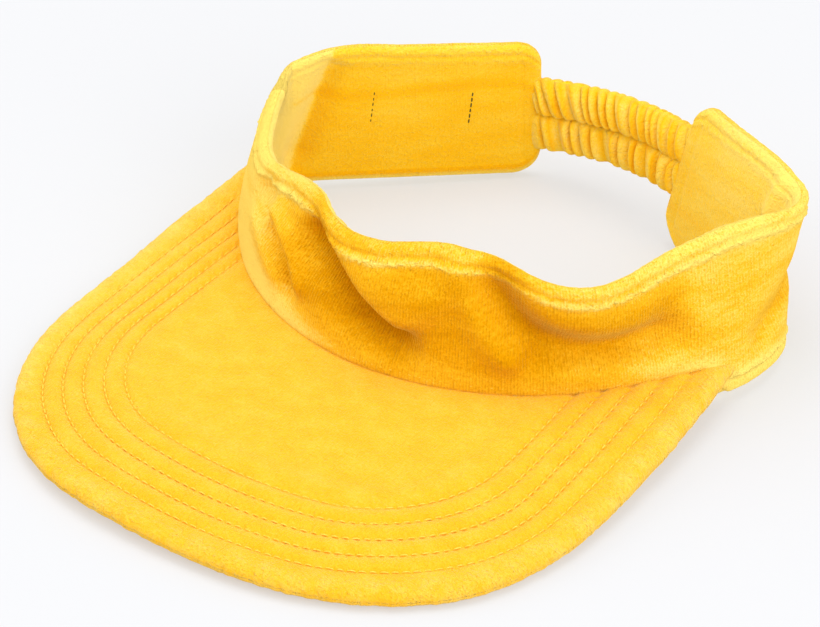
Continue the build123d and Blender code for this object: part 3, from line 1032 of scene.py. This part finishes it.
for number in range(len(ROWS)):
    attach(dress(make_row(number), "thread", f"peak_stitch_row_{number + 1}"), "front")
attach(dress(make_seam_stitch(), "thread", "peak_seam_stitch"), "front")

for side in SIDES:
    stiff = dress(make_interlining(side), "interlining", "front_interlining", f"{side}_interlining")
    bend(stiff)
    outer = dress(make_panel(side, False), "velour_band", "front_outer_panel", f"{side}_outer_panel")
    bend(outer)
    lining = dress(make_panel(side, True), "velour_lining", "front_lining_panel", f"{side}_lining_panel")
    bend(lining)
    bend(dress(make_hems(side), "thread", "front_top_stitch"))
    bend(dress(make_low_hems(side), "thread", "front_bottom_stitch", f"{side}_hem_stitch"))

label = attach(dress(make_label(), "label", "side_label"), "right_wing")
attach(dress(make_tacks(), "tack_thread", "label_tacks"), "right_wing")

casing = dress(make_casing(), "velour_casing", "elastic_casing")
strips = [
    dress(make_elastic("elastic_lower", 0.26), "elastic", "elastic_strip_lower"),
    dress(make_elastic("elastic_upper", 0.74), "elastic", "elastic_strip_upper"),
]
waist_stitch = dress(make_centre_stitch(), "thread", "casing_centre_stitch")
for piece in (casing, *strips, waist_stitch):
    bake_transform(piece)
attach(dress(make_tab("elastic_tab_right", -1), "elastic", "elastic_anchor_right"), "right_wing")
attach(dress(make_tab("elastic_tab_left", 1), "elastic", "elastic_anchor_left"), "left_wing")

# ---- Floor, light and camera ----


def make_floor():
    """A plain pale table that glows a little, so that its shadows stay faint."""
    mesh = bpy.data.meshes.new("floor")
    size, low = 30.0, -0.0012
    corners = [(-size, -size, low), (size, -size, low), (size, size, low), (-size, size, low)]
    mesh.from_pydata(corners, [], [(0, 1, 2, 3)])
    floor = bpy.data.objects.new("floor", mesh)
    bpy.context.scene.collection.objects.link(floor)
    paint = bpy.data.materials.new("floor_paint")
    paint.use_nodes = True
    shader = paint.node_tree.nodes["Principled BSDF"]
    shader.inputs["Base Color"].default_value = (0.33, 0.335, 0.35, 1)
    shader.inputs["Emission Color"].default_value = (1, 1, 1, 1)
    shader.inputs["Emission Strength"].default_value = 0.46
    shader.inputs["Roughness"].default_value = 0.9
    shader.inputs["Specular IOR Level"].default_value = 0.0
    mesh.materials.append(paint)


def soft_light(name, place, size, power):
    """A square soft light that faces the visor."""
    data = bpy.data.lights.new(name, "AREA")
    data.size, data.energy = size, power
    lamp = bpy.data.objects.new(name, data)
    bpy.context.scene.collection.objects.link(lamp)
    lamp.location = place
    lamp.rotation_euler = (Vector((0, 0, 0.02)) - Vector(place)).to_track_quat("-Z", "Y").to_euler()


def make_camera():
    """A long lens, from the front and the wearer's left, looking down."""
    azimuth, elevation, roll = radians(37.03), radians(35.23), radians(-0.5)
    target, distance = Vector((-0.0087, 0.0208, 0.0036)), 1.5538
    back = Vector((sin(azimuth) * cos(elevation), -cos(azimuth) * cos(elevation), sin(elevation)))
    right = back.cross(Vector((0, 0, -1))).normalized()
    up = back.cross(right)
    across = right * cos(roll) + up * sin(roll)
    upward = up * cos(roll) - right * sin(roll)
    data = bpy.data.cameras.new("camera")
    data.lens, data.sensor_width = 219.2, 36.0
    camera = bpy.data.objects.new("camera", data)
    bpy.context.scene.collection.objects.link(camera)
    axes = Matrix((across, upward, back)).transposed().to_4x4()
    camera.matrix_world = Matrix.Translation(target + back * distance) @ axes
    bpy.context.scene.camera = camera


make_floor()
soft_light("top", (-0.1, 0.2, 1.65), 1.2, 11)
soft_light("key", (1.5, -0.5, 0.95), 1.5, 19)
soft_light("fill", (-1.4, -0.6, 0.8), 1.5, 12)
world = bpy.data.worlds.new("studio")
world.use_nodes = True
world.node_tree.nodes["Background"].inputs["Color"].default_value = (1, 1, 1, 1)
world.node_tree.nodes["Background"].inputs["Strength"].default_value = 0.79
bpy.context.scene.world = world
bpy.context.scene.view_settings.view_transform = "Standard"
make_camera()
